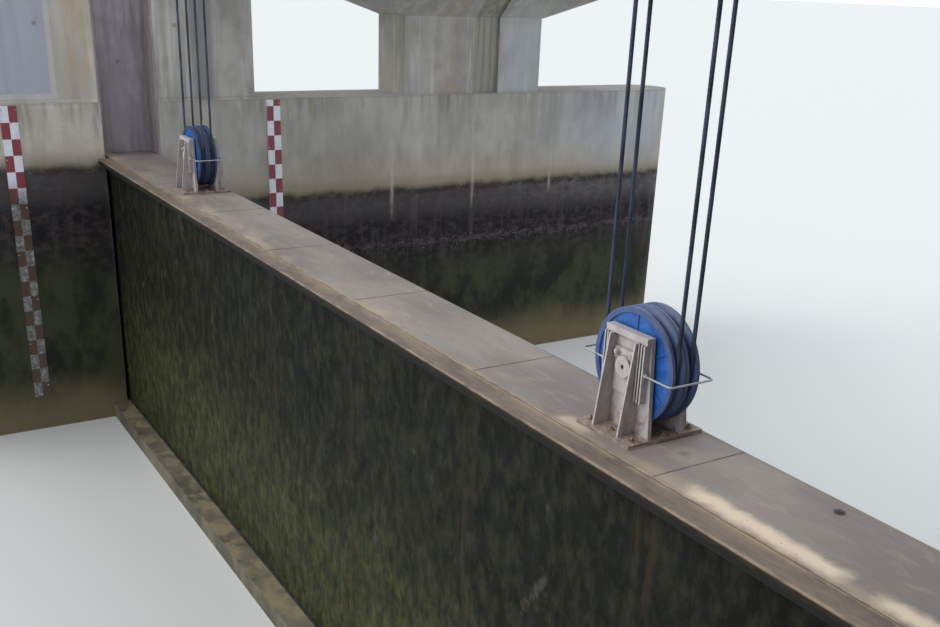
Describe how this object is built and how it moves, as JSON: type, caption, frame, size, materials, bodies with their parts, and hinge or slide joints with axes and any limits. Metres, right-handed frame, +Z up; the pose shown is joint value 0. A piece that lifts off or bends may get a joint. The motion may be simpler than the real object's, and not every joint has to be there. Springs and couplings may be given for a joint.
{
  "type": "sluice gate",
  "caption": "Vertical-lift steel sluice gate between slotted concrete piers, hung on ropes over grooved sheaves, with staff gauges and bridge caps.",
  "frame": {"origin": "on the river bed, at the middle of the bay and halfway along the piers", "axes": "+X along the gate to the right pier, +Y downstream, +Z up"},
  "size_m": [15.6, 13.21, 10.2],
  "materials": {
    "concrete": "matte",
    "guide_steel": "matte",
    "gauge_paint": "satin",
    "wire_rope": "satin",
    "anchor_steel": "matte",
    "silted_steel": "matte",
    "leaf_steel": "matte",
    "shoe_bronze": "satin",
    "seal_rubber": "matte",
    "bracket_paint": "matte",
    "bright_rod": "satin",
    "sheave_blue": "satin"
  },
  "bodies": {
    "root": {"left_wall_upstream": "concrete", "left_slot_wall": "concrete", "left_wall_downstream": "concrete", "left_column_upstream": "concrete", "left_column_downstream": "concrete", "left_bridge_column": "concrete", "left_bridge_cap": "concrete", "left_slot_guides": "guide_steel", "right_wall_upstream": "concrete", "right_slot_wall": "concrete", "right_wall_downstream": "concrete", "right_column_upstream": "concrete", "right_column_downstream": "concrete", "right_bridge_column": "concrete", "right_bridge_cap": "concrete", "right_slot_guides": "guide_steel", "staff_gauges": "gauge_paint", "hoist_deck": "concrete", "sill": "concrete", "left_ropes": "wire_rope", "left_rope_anchor": "anchor_steel", "right_ropes": "wire_rope", "right_rope_anchor": "anchor_steel"},
    "leaf": {"skin_plate": "silted_steel", "top_plate": "silted_steel", "top_lip": "silted_steel", "girders": "leaf_steel", "diaphragms": "leaf_steel", "end_plates": "leaf_steel", "slide_shoes": "shoe_bronze", "seals": "seal_rubber", "left_block_base": "bracket_paint", "left_brackets": "bracket_paint", "left_axle": "bracket_paint", "left_guard_bars": "bright_rod", "left_rope_turns": "wire_rope", "right_block_base": "bracket_paint", "right_brackets": "bracket_paint", "right_axle": "bracket_paint", "right_guard_bars": "bright_rod", "right_rope_turns": "wire_rope"},
    "left_front_sheave": {"left_sheave_front": "sheave_blue"},
    "left_rear_sheave": {"left_sheave_rear": "sheave_blue"},
    "right_front_sheave": {"right_sheave_front": "sheave_blue"},
    "right_rear_sheave": {"right_sheave_rear": "sheave_blue"}
  },
  "joints": [
    {"name": "gate_lift", "type": "slide", "parent": "root", "child": "leaf", "axis": [0, 0, 1], "range_m": [0, 3.9], "deforming": ["left_ropes", "right_ropes"]},
    {"name": "left_front_turn", "type": "hinge", "parent": "leaf", "child": "left_front_sheave", "pos_m": [-3.78, -2.721, 3.983], "axis": [0, -1, 0], "range_deg": [-1, 757]},
    {"name": "left_rear_turn", "type": "hinge", "parent": "leaf", "child": "left_rear_sheave", "pos_m": [-3.78, -2.721, 3.983], "axis": [0, -1, 0], "range_deg": [-1, 757]},
    {"name": "right_front_turn", "type": "hinge", "parent": "leaf", "child": "right_front_sheave", "pos_m": [3.78, -2.721, 3.983], "axis": [0, 1, 0], "range_deg": [-1, 757]},
    {"name": "right_rear_turn", "type": "hinge", "parent": "leaf", "child": "right_rear_sheave", "pos_m": [3.78, -2.721, 3.983], "axis": [0, 1, 0], "range_deg": [-1, 757]}
  ],
  "couplings": [
    {"joint": "left_front_turn", "follows": "gate_lift", "rad_per_m": 3.375},
    {"joint": "left_rear_turn", "follows": "gate_lift", "rad_per_m": 3.375},
    {"joint": "right_front_turn", "follows": "gate_lift", "rad_per_m": 3.375},
    {"joint": "right_rear_turn", "follows": "gate_lift", "rad_per_m": 3.375}
  ]
}
